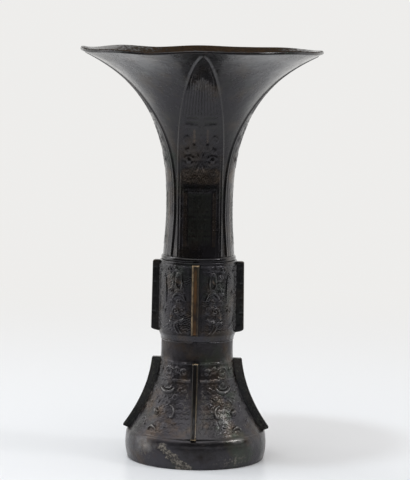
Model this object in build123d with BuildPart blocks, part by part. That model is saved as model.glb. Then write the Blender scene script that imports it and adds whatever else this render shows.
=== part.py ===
from build123d import *
import os
from math import asin, sin, sqrt

os.makedirs("parts", exist_ok=True)

# The three cast sections stack on one axis; the heights run from seat to seat.
FOOT_HEIGHT = 73.0
KNOP_HEIGHT = 49.0
NECK_HEIGHT = 128.0

# Film of solder left between a let-in piece and its seat.
SOLDER_GAP = 0.1

# Trumpet neck. It is straight up to the throat, then its curve is cut in short tapers.
# The curve is a gentle swing plus a sharper turn of the lip.
MOUTH_RADIUS = 74.0
THROAT_RADIUS = 19.8
THROAT_RISE = 28.0
THROAT_WALL = 1.9
FLARE_SWING = 43.5
FLARE_POWER = 2.9
LIP_POWER = 8
NECK_WALL = 3.6
LIP_WALL = 2.2
NECK_SPIGOT_LENGTH = 10.0
BEAD_RELIEF = 2.8
BEAD_HEIGHT = 1.2
BEAD_SLOPE = 0.9
STRAIGHT_SHARE = 0.18
BORE_SHARE = 0.35
SKIN_SHARES = (0.42, 0.605, 0.75, 0.875, 1.0)
CORE_SHARES = (0.65, 0.845, 1.0)

# Raised blades on the neck, each a panel with upright sides and a pointed tip that narrows in two facets.
BLADE_RELIEF = 0.8
BLADE_ROOT = 0.7
BLADE_HALF_WIDTH = 13.8
BLADE_FOOT_RISE = 5.0
BLADE_SHOULDER_RISE = 63.0
BLADE_TIP_DROP = 5.4
BLADE_BOW = 0.89

# Knop.
KNOP_RADIUS = 23.4
KNOP_SHOULDER = 3.2
KNOP_WALL = 3.4
KNOP_WELL_RISE = 10.0

# Foot.
WAIST_RADIUS = 21.8
WAIST_WALL = 3.4
WAIST_HEIGHT = 7.0
COLLAR_DEPTH = 12.0
LEDGE_WIDTH = 3.2
LEDGE_HEIGHT = 4.0
BASE_RADIUS = 42.5
BAND_HEIGHT = 17.5
FOOT_STEPS = 3
HOLLOW_WALL = 2.4
HOLLOW_STRAIGHT = 12.0
BAND_WALL = 4.6
BAND_HOLLOW_HEIGHT = 14.0

# Raised forms on the foot: in each panel three crescents and an eye, cut in a few facets.
# A place is an angle from the front or back flange and a rise above the band.
RELIEF_HEIGHT = 0.9
RELIEF_ROOT = 1.5
EYE_RADIUS = 2.5
EYE_FACETS = 8
EYE_RELIEF = 1.2
EYE_ANGLE = 47.5
EYE_RISE = 13.8
CRESCENT_HALF_WIDTH = 4.8
CRESCENT_BELLY_HALF_WIDTH = 2.4
CRESCENT_BELLY = 3.5
CRESCENT_HOLLOW = 1.4
SMILE = (42.0, 28.0, 0.0)
ARCH = (40.5, 4.0, 180.0)
HOOK = (26.0, 15.0, -90.0)

# Floor disc and the knop spigot's wall above it.
FLOOR_THICKNESS = 3.0
KNOP_SPIGOT_WALL = 2.3

# Flanges.
SLOT_DEPTH = 1.4
KNOP_FLANGE_THICKNESS = 4.6
KNOP_FLANGE_REACH = 4.6
KNOP_FLANGE_LEAN = 0.5
KNOP_FLANGE_CORNER = 1.0
KNOP_FLANGE_FOOT_RISE = 3.2
KNOP_FLANGE_HEEL = 3.2
KNOP_FLANGE_TOP_DROP = 1.0
FOOT_FLANGE_THICKNESS = 3.8
FOOT_FLANGE_REACH = 5.5
FOOT_FLANGE_DROP = 4.8
FOOT_FLANGE_END_RISE = 0.8
FOOT_FLANGE_STEPS = 4

# Where the seats fall, and the radii that follow from the walls.
KNOP_SEAT = FOOT_HEIGHT
NECK_SEAT = FOOT_HEIGHT + KNOP_HEIGHT
RIM = NECK_SEAT + NECK_HEIGHT
THROAT = NECK_SEAT + THROAT_RISE
LEDGE_TOP = FOOT_HEIGHT - COLLAR_DEPTH
FLARE_TOP = FOOT_HEIGHT - WAIST_HEIGHT
BORE_RADIUS = THROAT_RADIUS - THROAT_WALL
KNOP_BORE_RADIUS = KNOP_RADIUS - KNOP_WALL
COLLAR_BORE_RADIUS = WAIST_RADIUS - WAIST_WALL
BEAD_RADIUS = THROAT_RADIUS + BEAD_RELIEF
STRAIGHT_TOP = THROAT + (RIM - THROAT) * STRAIGHT_SHARE
BORE_TOP = THROAT + (RIM - THROAT) * BORE_SHARE
HOLLOW_TOP = LEDGE_TOP - LEDGE_HEIGHT - HOLLOW_STRAIGHT
HOLLOW_RADIUS = WAIST_RADIUS - HOLLOW_WALL
BAND_HOLLOW_RADIUS = BASE_RADIUS - BAND_WALL
SIDES = (("front", -90.0), ("right", 0.0), ("back", 90.0), ("left", 180.0))

# The foot's hollow flare is an arc that starts upright at the waist and meets the band's top edge.
FLARE_OUT = BASE_RADIUS - WAIST_RADIUS
FLARE_DROP = FLARE_TOP - BAND_HEIGHT
FLARE_RADIUS = (FLARE_OUT**2 + FLARE_DROP**2) / (2 * FLARE_OUT)
FLARE_CENTRE = WAIST_RADIUS + FLARE_RADIUS


def meridian(angle):
    out = Vector(1, 0, 0).rotate(Axis.Z, angle)
    return Plane(origin=(0, 0, 0), x_dir=out, z_dir=out.cross(Vector(0, 0, 1)))


def flare_point(radius, height):
    return (FLARE_CENTRE - sqrt(radius**2 - (FLARE_TOP - height) ** 2), height)


def flare_steps(radius, high, low, steps):
    first = asin((FLARE_TOP - high) / radius)
    last = asin((FLARE_TOP - low) / radius)
    turns = [first + (last - first) * i / steps for i in range(steps + 1)]
    return [flare_point(radius, FLARE_TOP - radius * sin(turn)) for turn in turns]


def flare_end(radius):
    foot_point = flare_point(FLARE_RADIUS, BAND_HEIGHT + FOOT_FLANGE_END_RISE)
    share = radius / FLARE_RADIUS
    return (
        FLARE_CENTRE + (foot_point[0] - FLARE_CENTRE) * share,
        FLARE_TOP + (foot_point[1] - FLARE_TOP) * share,
    )


def trumpet(shares, depth_low, depth_high):
    lip_swing = MOUTH_RADIUS - THROAT_RADIUS - FLARE_SWING
    rise = RIM - THROAT
    points = []
    for share in shares:
        gentle = FLARE_SWING * share**FLARE_POWER
        sharp = lip_swing * share**LIP_POWER
        slope = (gentle * FLARE_POWER + sharp * LIP_POWER) / (share * rise)
        depth = depth_low + (depth_high - depth_low) * share
        radius = THROAT_RADIUS + gentle + sharp - depth * sqrt(1 + slope**2)
        points.append((radius, THROAT + rise * share))
    return points


# Neck: a spigot and a bead below, one bore up to the throat, then the flare to a thin flat lip.
with BuildPart() as neck:
    with BuildSketch(Plane.XZ):
        with BuildLine():
            skin = trumpet(SKIN_SHARES, 0, 0)
            core = trumpet(CORE_SHARES, NECK_WALL, LIP_WALL)
            spigot = KNOP_BORE_RADIUS - SOLDER_GAP
            spigot_end = NECK_SEAT - NECK_SPIGOT_LENGTH
            Polyline(
                (BORE_RADIUS, BORE_TOP),
                (BORE_RADIUS, spigot_end),
                (spigot, spigot_end),
                (spigot, NECK_SEAT),
                (BEAD_RADIUS, NECK_SEAT),
                (BEAD_RADIUS, NECK_SEAT + BEAD_HEIGHT),
                (THROAT_RADIUS, NECK_SEAT + BEAD_HEIGHT + BEAD_SLOPE),
                (THROAT_RADIUS, STRAIGHT_TOP),
                *skin,
                *reversed(core),
                (BORE_RADIUS, BORE_TOP),
            )
        make_face()
    revolve(axis=Axis.Z)

# Blades: a skin that follows the neck, kept only inside a leaf outline seen from the front.
with BuildPart() as blade:
    with BuildSketch(Plane.XZ):
        with BuildLine():
            blade_foot = NECK_SEAT + BLADE_FOOT_RISE
            proud = THROAT_RADIUS + BLADE_RELIEF
            sunk = THROAT_RADIUS - BLADE_ROOT
            Polyline(
                (sunk, STRAIGHT_TOP),
                (sunk, blade_foot),
                (proud, blade_foot),
                (proud, STRAIGHT_TOP),
                *trumpet(SKIN_SHARES, -BLADE_RELIEF, -BLADE_RELIEF),
                *reversed(trumpet(SKIN_SHARES, BLADE_ROOT, BLADE_ROOT)),
                (sunk, STRAIGHT_TOP),
            )
        make_face()
    revolve(axis=Axis.Z)
    with BuildSketch(Plane.XZ):
        with BuildLine():
            shoulder = NECK_SEAT + BLADE_SHOULDER_RISE
            tip = (0, RIM - BLADE_TIP_DROP)
            bow = (BLADE_HALF_WIDTH * BLADE_BOW, (shoulder + tip[1]) / 2)
            Polyline((0, NECK_SEAT), (BLADE_HALF_WIDTH, NECK_SEAT), (BLADE_HALF_WIDTH, shoulder), bow, tip)
            mirror(about=Plane.YZ)
        make_face()
    extrude(amount=MOUTH_RADIUS, mode=Mode.INTERSECT)

with neck:
    with PolarLocations(0, len(SIDES)):
        add(blade.part)

# Knop: a drum with a spigot below and a bore that steps in above the floor.
with BuildPart() as knop:
    with BuildSketch(Plane.XZ):
        with BuildLine():
            spigot = COLLAR_BORE_RADIUS - SOLDER_GAP
            spigot_bore = spigot - KNOP_SPIGOT_WALL
            spigot_end = LEDGE_TOP + FLOOR_THICKNESS + SOLDER_GAP
            well = KNOP_SEAT + KNOP_WELL_RISE
            Polyline(
                (WAIST_RADIUS, KNOP_SEAT),
                (KNOP_RADIUS, KNOP_SEAT + KNOP_SHOULDER),
                (KNOP_RADIUS, NECK_SEAT),
                (KNOP_BORE_RADIUS, NECK_SEAT),
                (KNOP_BORE_RADIUS, well),
                (spigot_bore, well),
                (spigot_bore, spigot_end),
                (spigot, spigot_end),
                (spigot, KNOP_SEAT),
                (WAIST_RADIUS, KNOP_SEAT),
            )
        make_face()
    revolve(axis=Axis.Z)

# Foot: straight waist, hollow flare, then a plain upright base band.
with BuildPart() as foot:
    with BuildSketch(Plane.XZ):
        with BuildLine():
            ledge_base = LEDGE_TOP - LEDGE_HEIGHT
            ledge_bore = COLLAR_BORE_RADIUS - LEDGE_WIDTH
            Polyline(
                (COLLAR_BORE_RADIUS, FOOT_HEIGHT),
                (WAIST_RADIUS, FOOT_HEIGHT),
                *flare_steps(FLARE_RADIUS, FLARE_TOP, BAND_HEIGHT, FOOT_STEPS),
                (BASE_RADIUS, 0),
                (BAND_HOLLOW_RADIUS, 0),
                (BAND_HOLLOW_RADIUS, BAND_HOLLOW_HEIGHT),
                (HOLLOW_RADIUS, HOLLOW_TOP),
                (HOLLOW_RADIUS, ledge_base),
                (ledge_bore, ledge_base),
                (ledge_bore, LEDGE_TOP),
                (COLLAR_BORE_RADIUS, LEDGE_TOP),
                (COLLAR_BORE_RADIUS, FOOT_HEIGHT),
            )
        make_face()
    revolve(axis=Axis.Z)


def foot_face(angle, rise):
    steps = flare_steps(FLARE_RADIUS, FLARE_TOP, BAND_HEIGHT, FOOT_STEPS)
    height = BAND_HEIGHT + rise
    high, low = next(ends for ends in zip(steps, steps[1:]) if ends[1][1] < height)
    share = (height - low[1]) / (high[1] - low[1])
    radius = low[0] + (high[0] - low[0]) * share
    up = Vector(0, 0, 1)
    out = Vector(1, 0, 0).rotate(Axis.Z, angle)
    facing = out * (high[1] - low[1]) + up * (low[0] - high[0])
    return Plane(origin=out * radius + up * height, x_dir=up.cross(out), z_dir=facing)


# Crescents and eyes are rooted in the flare; panels either side of a flange mirror each other.
with foot:
    for flange_angle in (-90.0, 90.0):
        for hand in (-1, 1):
            for angle, rise, turn in (SMILE, ARCH, HOOK):
                with BuildSketch(foot_face(flange_angle + hand * angle, rise).offset(-RELIEF_ROOT)):
                    Polygon(
                        (-CRESCENT_HALF_WIDTH, 0),
                        (-CRESCENT_BELLY_HALF_WIDTH, -CRESCENT_BELLY),
                        (CRESCENT_BELLY_HALF_WIDTH, -CRESCENT_BELLY),
                        (CRESCENT_HALF_WIDTH, 0),
                        (0, -CRESCENT_HOLLOW),
                        rotation=hand * turn,
                        align=None,
                    )
                extrude(amount=RELIEF_ROOT + RELIEF_HEIGHT)
            with BuildSketch(foot_face(flange_angle + hand * EYE_ANGLE, EYE_RISE).offset(-RELIEF_ROOT)):
                RegularPolygon(EYE_RADIUS, EYE_FACETS)
            extrude(amount=RELIEF_ROOT + EYE_RELIEF)


def knop_flange_outline():
    seat = KNOP_RADIUS - SLOT_DEPTH + SOLDER_GAP
    reach = KNOP_RADIUS + KNOP_FLANGE_REACH
    heel = KNOP_SEAT + KNOP_FLANGE_FOOT_RISE
    top = NECK_SEAT - KNOP_FLANGE_TOP_DROP
    with BuildLine() as outline:
        low = (reach + KNOP_FLANGE_LEAN / 2, heel + KNOP_FLANGE_HEEL)
        high = (reach - KNOP_FLANGE_LEAN / 2, top)
        line = Polyline((seat, top), (seat, heel), low, high, (seat, top))
    make_face(outline.edges())
    outer_corners = vertices().filter_by(lambda v: v.X > KNOP_RADIUS)
    chamfer(outer_corners, KNOP_FLANGE_CORNER)


def foot_flange_outline():
    inner = FLARE_RADIUS + SLOT_DEPTH - SOLDER_GAP
    outer = FLARE_RADIUS - FOOT_FLANGE_REACH
    top = FLARE_TOP - FOOT_FLANGE_DROP
    with BuildLine() as outline:
        edge = flare_steps(outer, top, flare_end(outer)[1], FOOT_FLANGE_STEPS)
        tongue = flare_steps(inner, top, flare_end(inner)[1], FOOT_FLANGE_STEPS)
        Polyline(*edge, *reversed(tongue), edge[0])
    make_face(outline.edges())


# Each flange is let into a slot of its own outline, one solder film larger all round.
for side, angle in SIDES:
    with knop:
        with BuildSketch(meridian(angle)):
            knop_flange_outline()
            offset(amount=SOLDER_GAP, kind=Kind.INTERSECTION)
        extrude(amount=KNOP_FLANGE_THICKNESS / 2 + SOLDER_GAP, both=True, mode=Mode.SUBTRACT)
    with foot:
        with BuildSketch(meridian(angle)):
            foot_flange_outline()
            offset(amount=SOLDER_GAP, kind=Kind.INTERSECTION)
        extrude(amount=FOOT_FLANGE_THICKNESS / 2 + SOLDER_GAP, both=True, mode=Mode.SUBTRACT)
    with BuildPart() as knop_flange:
        with BuildSketch(meridian(angle)):
            knop_flange_outline()
        extrude(amount=KNOP_FLANGE_THICKNESS / 2, both=True)
    with BuildPart() as foot_flange:
        with BuildSketch(meridian(angle)):
            foot_flange_outline()
        extrude(amount=FOOT_FLANGE_THICKNESS / 2, both=True)
    knop_flange.part.label = "knop_flange_" + side
    foot_flange.part.label = "foot_flange_" + side
    export_step(knop_flange.part, "parts/knop_flange_" + side + ".step")
    export_step(foot_flange.part, "parts/foot_flange_" + side + ".step")

# Floor disc: drops on the ledge in the foot's collar and closes the well.
with BuildPart() as floor_disc:
    with Locations((0, 0, LEDGE_TOP)):
        Cylinder(
            COLLAR_BORE_RADIUS - SOLDER_GAP,
            FLOOR_THICKNESS,
            align=(Align.CENTER, Align.CENTER, Align.MIN),
        )

neck.part.label = "neck"
knop.part.label = "knop"
foot.part.label = "foot"
floor_disc.part.label = "floor_disc"
export_step(neck.part, "parts/neck.step")
export_step(knop.part, "parts/knop.step")
export_step(foot.part, "parts/foot.step")
export_step(floor_disc.part, "parts/floor_disc.step")
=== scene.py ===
import math

import bpy
import numpy as np
from mathutils import Matrix, Vector


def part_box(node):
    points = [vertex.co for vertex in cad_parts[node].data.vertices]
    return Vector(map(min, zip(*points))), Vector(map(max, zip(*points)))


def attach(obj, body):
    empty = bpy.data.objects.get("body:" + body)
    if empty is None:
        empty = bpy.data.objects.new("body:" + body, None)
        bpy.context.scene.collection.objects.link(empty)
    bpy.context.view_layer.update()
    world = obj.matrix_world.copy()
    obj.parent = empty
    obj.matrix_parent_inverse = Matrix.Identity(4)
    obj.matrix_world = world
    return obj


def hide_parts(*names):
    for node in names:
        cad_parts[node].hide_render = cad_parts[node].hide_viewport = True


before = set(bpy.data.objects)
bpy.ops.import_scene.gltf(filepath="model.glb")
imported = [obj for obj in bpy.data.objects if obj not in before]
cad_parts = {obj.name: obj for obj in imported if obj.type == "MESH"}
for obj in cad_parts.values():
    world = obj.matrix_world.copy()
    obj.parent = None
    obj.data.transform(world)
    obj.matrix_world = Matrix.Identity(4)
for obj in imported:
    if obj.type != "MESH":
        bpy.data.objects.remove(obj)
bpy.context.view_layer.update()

# Foot
# A hollow bronze casting that spreads from a straight waist to a plain, slightly swelling base band.
# Its flare carries raised crescents, eye bosses, hooks and scrolls on a ground of small spirals,
# cast in one with it from a carved mould. One stretch of the band was filled later with a gritty paste.
MM = 0.001
foot_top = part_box("foot")[1].z / MM
waist_radius = 21.8
flare_top = 68.5
flare_foot = 18.4
flare_foot_radius = 40.2
band_radius = 41.4
band_swell = 1.6
band_middle = 9.5
collar_radius = 18.4
ledge_radius = 15.2
ledge_top = 61.0
ledge_base = 57.0
foot_hollow_radius = 37.9
band_hollow_top = 14.0
upper_hollow_radius = 19.4
upper_hollow_base = 45.0

flare_out = flare_foot_radius - waist_radius
flare_drop = flare_top - flare_foot
flare_radius = (flare_out**2 + flare_drop**2) / (2 * flare_out)
flare_centre = waist_radius + flare_radius


# Profile helpers: runs of (radius, height) points in millimetres, their lengths and their rows in a loop.
def flare_line(radius, high, low, count):
    turn = np.linspace(math.asin((flare_top - low) / radius), math.asin((flare_top - high) / radius), count)
    return np.column_stack([flare_centre - radius * np.cos(turn), flare_top - radius * np.sin(turn)])


def straight(start, end, spacing):
    count = max(2, round(math.dist(start, end) / spacing) + 1)
    return np.column_stack([np.linspace(start[k], end[k], count) for k in (0, 1)])


def bend(start, corner, end, count=5):
    t = np.linspace(0, 1, count)[:, None]
    return (1 - t) ** 2 * np.array(start) + 2 * t * (1 - t) * np.array(corner) + t**2 * np.array(end)


def joined(*runs):
    points = np.concatenate(runs)
    keep = np.concatenate(([True], np.hypot(*np.diff(points, axis=0).T) > 1e-4))
    return points[keep]


def through(start, *stops):
    runs = []
    for spacing, stop in stops:
        runs.append(straight(start, stop, spacing))
        start = stop
    return joined(*runs)


def run_along(points):
    return np.concatenate(([0], np.cumsum(np.hypot(*np.diff(points, axis=0).T))))


def rows_of(loop, run):
    first = int(np.argmin(np.hypot(*(loop - run[0]).T)))
    return slice(first, first + len(run))


def on_rows(loop, rows, field):
    whole = np.zeros((len(loop), field.shape[1]))
    whole[rows] = field
    return whole


def band_line(low, high, spacing):
    z = np.linspace(low, high, round((high - low) / spacing) + 1)
    return np.column_stack([band_radius + band_swell * (1 - ((z - band_middle) / band_middle) ** 2), z])


# Carving helpers, in millimetres on the unrolled surface: raised forms, soft patches, a spiral ground.
def ridge(x, y, path, half_width, soft=0.45, domed=False):
    path = np.asarray(path, float)
    width = np.broadcast_to(half_width, len(path))
    height = np.zeros(x.shape)
    for i in range(len(path) - 1):
        start, leap = path[i], path[i + 1] - path[i]
        share = np.clip(((x - start[0]) * leap[0] + (y - start[1]) * leap[1]) / (leap @ leap), 0, 1)
        away = np.hypot(x - start[0] - share * leap[0], y - start[1] - share * leap[1])
        reach = width[i] + (width[i + 1] - width[i]) * share
        form = 1 - (away / reach) ** 2 if domed else np.clip((reach - away) / soft + 0.5, 0, 1)
        height = np.maximum(height, form)
    return height**0.75 if domed else height * height * (3 - 2 * height)


def bow(centre, across, along, start, end, count=14):
    turn = np.radians(np.linspace(start, end, count))
    return np.column_stack([centre[0] + across * np.cos(turn), centre[1] + along * np.sin(turn)])


def curl(centre, inner, outer, start, turns, count=22):
    share = np.linspace(0, 1, count)
    turn = math.radians(start) + share * turns * math.tau
    radius = inner + (outer - inner) * share
    return np.column_stack([centre[0] + radius * np.cos(turn), centre[1] + radius * np.sin(turn)])


def boss(x, y, centre, radius):
    away = np.hypot(x - centre[0], y - centre[1]) / radius
    return np.sqrt(np.clip(1 - away**2, 0, 1))


def carved(field, x, y, forms, share=1.0, soft=0.7, domed=False):
    for path, half_width, height in forms:
        field = np.maximum(field, share * height * ridge(x, y, path, half_width, soft, domed))
    return field


def ramp(value, start, span):
    # Rises from nothing at the start to one after the span; a negative span falls towards the start.
    return np.clip((value - start) / span, 0, 1)


def soft_patch(x, y, centre, spread):
    return np.exp(-(((x - centre[0]) / spread[0]) ** 2) - ((y - centre[1]) / spread[1]) ** 2)


def swelling(path, thick, thin):
    return thin + (thick - thin) * np.sin(np.linspace(0, math.pi, len(path)))


def spiral_ground(x, y, cell, pitch):
    row = np.floor(y / cell)
    shifted = x + (row % 2) * cell / 2
    side = np.where((np.floor(shifted / cell) + row) % 2 == 0, 1, -1)
    u = (shifted % cell - cell / 2) * side
    v = y % cell - cell / 2
    away = np.hypot(u, v)
    wave = 0.5 + 0.5 * np.cos(math.tau * away / pitch - np.arctan2(v, u))
    reach = cell * 0.52
    edge = 0.3
    return wave * ramp(away, reach, -edge)


def spread_out(field, passes):
    for _ in range(passes):
        padded = np.pad(field, 1, mode="edge")
        field = (padded[1:-1, :-2] + padded[1:-1, 2:] + padded[:-2, 1:-1] + padded[2:, 1:-1] + 4 * field) / 8
    return field


# What a mesh holds at its points: read as arrays, written back from arrays.
def read_places(mesh):
    places = np.empty(len(mesh.vertices) * 3, "f4")
    mesh.vertices.foreach_get("co", places)
    return places.reshape(-1, 3)


def write_places(mesh, places):
    mesh.vertices.foreach_set("co", places.ravel())
    mesh.update()


def read_values(mesh, label):
    values = np.empty(len(mesh.vertices), "f4")
    mesh.attributes[label].data.foreach_get("value", values)
    return values


def write_values(mesh, label, values):
    if label not in mesh.attributes:
        mesh.attributes.new(label, "FLOAT", "POINT")
    mesh.attributes[label].data.foreach_set("value", values.ravel().astype("f4"))


# One share of a turned casting: a closed meridian loop swept from one angle to the next.
# Hands rub what stands above the relief around it, which is the relief spread out in this many passes.
rub_passes = 10


def turned_share(name, loop, angles, relief, grime=0.0, earth=0.0):
    rows, columns = len(loop), len(angles)

    def swept(out, up):
        return np.stack([out * np.cos(angles), out * np.sin(angles), np.repeat(up, columns, axis=1)], -1)

    places = swept(loop[:, :1], loop[:, 1:])
    along = np.roll(loop, -1, axis=0) - np.roll(loop, 1, axis=0)
    along = along / np.maximum(np.hypot(*along.T), 1e-9)[:, None]
    outward = swept(along[:, 1:], -along[:, :1])
    index = np.arange(rows * columns).reshape(rows, columns)
    above = np.roll(index, -1, axis=0)
    faces = np.stack([index[:, :-1], index[:, 1:], above[:, 1:], above[:, :-1]], -1)
    if loop[0, 0] == 0:
        faces = faces[:-1]
    mesh = bpy.data.meshes.new(name)
    mesh.from_pydata((places * MM).reshape(-1, 3).tolist(), [], faces.reshape(-1, 4).tolist())
    rub_and_highlight = relief - spread_out(relief, rub_passes) - grime
    for label, value in (("relief", relief), ("rub_and_highlight", rub_and_highlight), ("earth", earth + np.zeros_like(relief))):
        write_values(mesh, label, value)
    way = mesh.attributes.new("outward", "FLOAT_VECTOR", "POINT")
    way.data.foreach_set("vector", outward.ravel().astype("f4"))
    return mesh


# Node helpers: a group with its sockets, and a node with its settings and what feeds its inputs.
def node_group(name, kind, takes, gives):
    group = bpy.data.node_groups.new(name, kind)
    for way, sockets in (("INPUT", takes), ("OUTPUT", gives)):
        for label, socket in sockets.items():
            group.interface.new_socket(label, in_out=way, socket_type="NodeSocket" + socket)
    return group, group.nodes.new("NodeGroupInput").outputs, group.nodes.new("NodeGroupOutput")


def feed(tree, node, inputs):
    for label, value in inputs.items():
        socket = node.inputs[label]
        if isinstance(value, bpy.types.NodeSocket):
            tree.links.new(value, socket)
        else:
            socket.default_value = (*value, 1) if socket.type == "RGBA" else value


def add_node(tree, kind, inputs, **settings):
    node = tree.nodes.new(kind)
    for label, value in settings.items():
        setattr(node, label, value)
    feed(tree, node, inputs)
    return node


def combine(tree, operation, first, second):
    return add_node(tree, "ShaderNodeMath", {0: first, 1: second}, operation=operation).outputs[0]


# Casting tree: raises the carved relief, repeats the share round the axis and welds the shares.
casting, given, cast_out = node_group(
    "casting_in_turns",
    "GeometryNodeTree",
    {"Share": "Geometry", "Relief height": "Float", "Turns": "Int", "Weld": "Float", "Finish": "Material"},
    {"Casting": "Geometry"},
)
stored = "GeometryNodeInputNamedAttribute"
relief_height = add_node(casting, stored, {"Name": "relief"}, data_type="FLOAT").outputs["Attribute"]
relief_way = add_node(casting, stored, {"Name": "outward"}, data_type="FLOAT_VECTOR").outputs["Attribute"]
lift = combine(casting, "MULTIPLY", relief_height, given["Relief height"])
offset = add_node(casting, "ShaderNodeVectorMath", {0: relief_way, "Scale": lift}, operation="SCALE")
raised = add_node(
    casting, "GeometryNodeSetPosition", {"Geometry": given["Share"], "Offset": offset.outputs["Vector"]}
)
stations = add_node(casting, "GeometryNodeMeshLine", {"Count": given["Turns"], "Offset": (0, 0, 0)})
station = add_node(casting, "GeometryNodeInputIndex", {}).outputs["Index"]
full_turn = combine(casting, "DIVIDE", math.tau, given["Turns"])
turned = combine(casting, "MULTIPLY", full_turn, station)
about_axis = add_node(casting, "ShaderNodeCombineXYZ", {"Z": turned})
placed = add_node(
    casting,
    "GeometryNodeInstanceOnPoints",
    {
        "Points": stations.outputs["Mesh"],
        "Instance": raised.outputs["Geometry"],
        "Rotation": about_axis.outputs["Vector"],
    },
)
realized = add_node(casting, "GeometryNodeRealizeInstances", {"Geometry": placed.outputs["Instances"]})
welded = add_node(
    casting,
    "GeometryNodeMergeByDistance",
    {"Geometry": realized.outputs["Geometry"], "Distance": given["Weld"]},
)
smoothed = add_node(casting, "GeometryNodeSetShadeSmooth", {"Geometry": welded.outputs["Geometry"]})
finished = add_node(
    casting,
    "GeometryNodeSetMaterial",
    {"Geometry": smoothed.outputs["Geometry"], "Material": given["Finish"]},
)
feed(casting, cast_out, {"Casting": finished.outputs["Geometry"]})

weld_gap = 0.02 * MM


def cast(name, share, turns, material, crease, askew=0.0):
    piece = bpy.data.objects.new(name, share)
    bpy.context.scene.collection.objects.link(piece)
    work = piece.modifiers.new("casting", "NODES")
    work.node_group = casting
    values = {"Relief height": MM, "Turns": turns, "Weld": weld_gap, "Finish": material}
    for socket in casting.interface.items_tree:
        if socket.name in values:
            work[socket.identifier] = values[socket.name]
    evaluated = piece.evaluated_get(bpy.context.evaluated_depsgraph_get())
    solid = bpy.data.meshes.new_from_object(evaluated)
    piece.modifiers.clear()
    piece.data = solid
    solid.name = name
    solid.attributes.remove(solid.attributes["outward"])
    solid.transform(Matrix.Rotation(math.radians(askew), 4, "Z"))
    solid.set_sharp_from_angle(angle=math.radians(crease))
    return piece


# Shared effects of old bronze, each a group of nodes that puts out colours, masks or heights.
def noise(tree, scale, detail, roughness, shift):
    place = add_node(tree, "ShaderNodeTexCoord", {}).outputs["Object"]
    moved = add_node(tree, "ShaderNodeMapping", {"Vector": place, "Location": shift}).outputs["Vector"]
    inputs = {"Vector": moved, "Scale": scale, "Detail": detail, "Roughness": roughness}
    return add_node(tree, "ShaderNodeTexNoise", inputs).outputs["Fac"]


def between(tree, source, low, high, out_low=0.0, out_high=1.0):
    inputs = {"Value": source, "From Min": low, "From Max": high, "To Min": out_low, "To Max": out_high}
    return add_node(tree, "ShaderNodeMapRange", inputs, interpolation_type="SMOOTHSTEP").outputs["Result"]


def with_share(tree, base, mask, amount):
    return combine(tree, "ADD", base, combine(tree, "MULTIPLY", mask, amount))


def blend_colours(tree, share, first, second):
    mixer = add_node(tree, "ShaderNodeMix", {"Factor": share}, data_type="RGBA")
    places = [k for k, socket in enumerate(mixer.inputs) if socket.type == "RGBA"]
    feed(tree, mixer, dict(zip(places, (first, second))))
    return next(socket for socket in mixer.outputs if socket.type == "RGBA")


# Mottling: the cloudy brown, black and grey of an old patina, with faint green blooms.
mottling, tones, mottling_out = node_group(
    "patina_mottling",
    "ShaderNodeTree",
    {"Deep": "Color", "Body": "Color", "Warm": "Color", "Bloom": "Color"},
    {"Colour": "Color", "Cloud": "Float"},
)
cloud = between(mottling, noise(mottling, 38, 6, 0.62, (0.3, 0.1, 0.7)), 0.34, 0.66)
warm_cloud = between(mottling, noise(mottling, 71, 5, 0.6, (1.7, 0.4, 0.2)), 0.46, 0.68)
bloom_cloud = between(mottling, noise(mottling, 24, 7, 0.7, (0.9, 2.3, 1.1)), 0.52, 0.68)
mottled = blend_colours(mottling, cloud, tones["Deep"], tones["Body"])
mottled = blend_colours(mottling, warm_cloud, mottled, tones["Warm"])
mottled = blend_colours(mottling, bloom_cloud, mottled, tones["Bloom"])
feed(mottling, mottling_out, {"Colour": mottled, "Cloud": cloud})

# Handling: where hands have rubbed the high edges bright, with painted highlights laid on the same rub marks,
# and where dirt has stayed in the hollows.
wear_highlight_dirt, limits, handling_out = node_group(
    "wear_highlight_and_dirt",
    "ShaderNodeTree",
    {"Worn from": "Float", "Worn to": "Float"},
    {"Worn and highlight": "Float", "Dirt": "Float"},
)
rub_height = add_node(wear_highlight_dirt, "ShaderNodeAttribute", {}, attribute_name="rub_and_highlight").outputs["Fac"]
rub_span = {"Value": rub_height, "From Min": limits["Worn from"], "From Max": limits["Worn to"]}
rubbed = add_node(wear_highlight_dirt, "ShaderNodeMapRange", rub_span).outputs["Result"]
patchy = between(wear_highlight_dirt, noise(wear_highlight_dirt, 210, 4, 0.65, (0.2, 0.8, 0.5)), 0.34, 0.6, 0.35, 1.0)
worn_and_highlight_share = combine(wear_highlight_dirt, "MULTIPLY", rubbed, patchy)
dirt_share = between(wear_highlight_dirt, rub_height, -0.06, -0.42)
feed(wear_highlight_dirt, handling_out, {"Worn and highlight": worn_and_highlight_share, "Dirt": dirt_share})

# Clinging earth: gritty earth, filler or brown wash that covers the metal in places.
soil, earth_tones, soil_out = node_group(
    "clinging_earth",
    "ShaderNodeTree",
    {"Dark": "Color", "Pale": "Color"},
    {"Colour": "Color", "Share": "Float"},
)
soil_place = add_node(soil, "ShaderNodeAttribute", {}, attribute_name="earth").outputs["Fac"]
crumbs = between(soil, noise(soil, 640, 5, 0.7, (3.0, 1.0, 4.0)), 0.36, 0.64)
crumb_tone = blend_colours(soil, crumbs, earth_tones["Dark"], earth_tones["Pale"])
covered = between(soil, with_share(soil, soil_place, crumbs, 0.5), 0.5, 1.1)
feed(soil, soil_out, {"Colour": crumb_tone, "Share": covered})

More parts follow.
